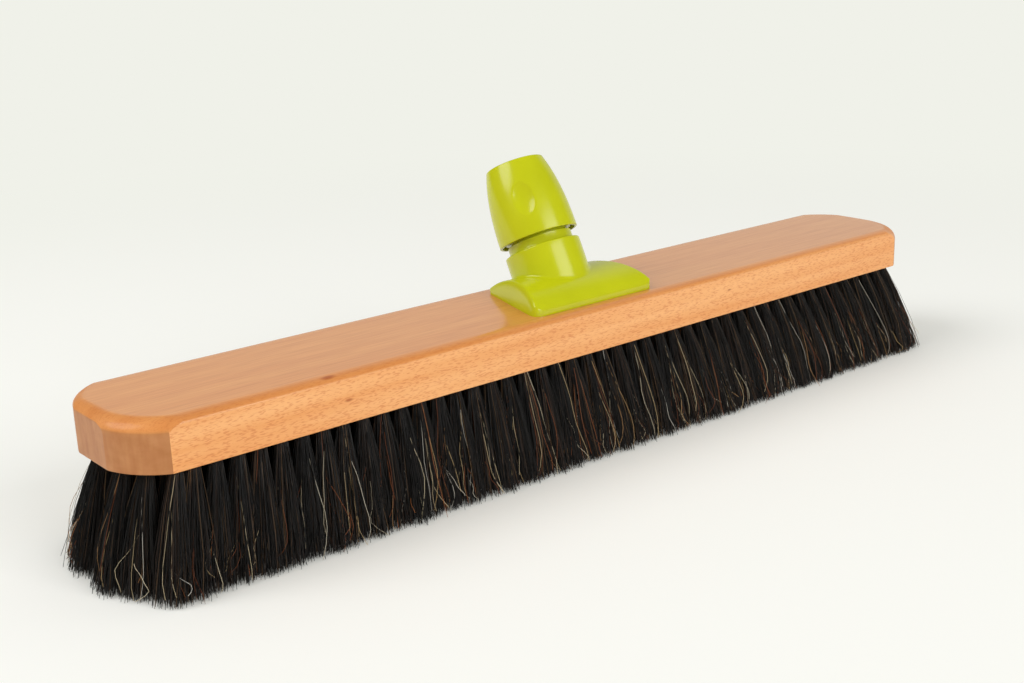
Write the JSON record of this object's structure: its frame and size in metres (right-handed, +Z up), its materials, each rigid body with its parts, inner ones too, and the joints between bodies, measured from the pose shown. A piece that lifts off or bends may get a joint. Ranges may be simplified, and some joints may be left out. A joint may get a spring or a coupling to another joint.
{
  "type": "indoor broom head",
  "caption": "Long rounded beech block with dense black horsehair bristles flaring outwards, and a lime plastic socket leaning back with a screw collar that clamps a round handle.",
  "frame": {"origin": "centre of the plane that the bristle tips stand on, under the middle of the block", "axes": "+X along the block, +Y to the side that the handle socket leans to, +Z up from the floor"},
  "size_m": [0.5146, 0.0938, 0.1397],
  "materials": {
    "beech": "steamed beech under clear gloss lacquer",
    "horsehair": "black horsehair with a soft sheen and a few brown hairs",
    "lime_plastic": "satin lime green moulded plastic",
    "screw_steel": "bright zinc plated"
  },
  "bodies": {
    "head": {"beech_block": "beech", "bristles_front": "horsehair", "bristles_middle": "horsehair", "bristles_back": "horsehair", "handle_holder": "lime_plastic", "holder_screw_left": "screw_steel", "holder_screw_right": "screw_steel"},
    "sleeve": {"clamp_sleeve": "lime_plastic"},
    "collar": {"clamp_collar": "lime_plastic"}
  },
  "joints": [
    {"name": "sleeve_slide", "type": "slide", "parent": "head", "child": "sleeve", "axis": [0, 0.4493, 0.8934], "range_m": [-0.005, 0.004]},
    {"name": "collar_turn", "type": "hinge", "parent": "sleeve", "child": "collar", "pos_m": [0, 0.0014, 0.072], "axis": [0, 0.4493, 0.8934], "range_deg": [-300, 240]}
  ],
  "couplings": [
    {"joint": "sleeve_slide", "follows": "collar_turn", "m_per_rad": 0.0009549}
  ]
}
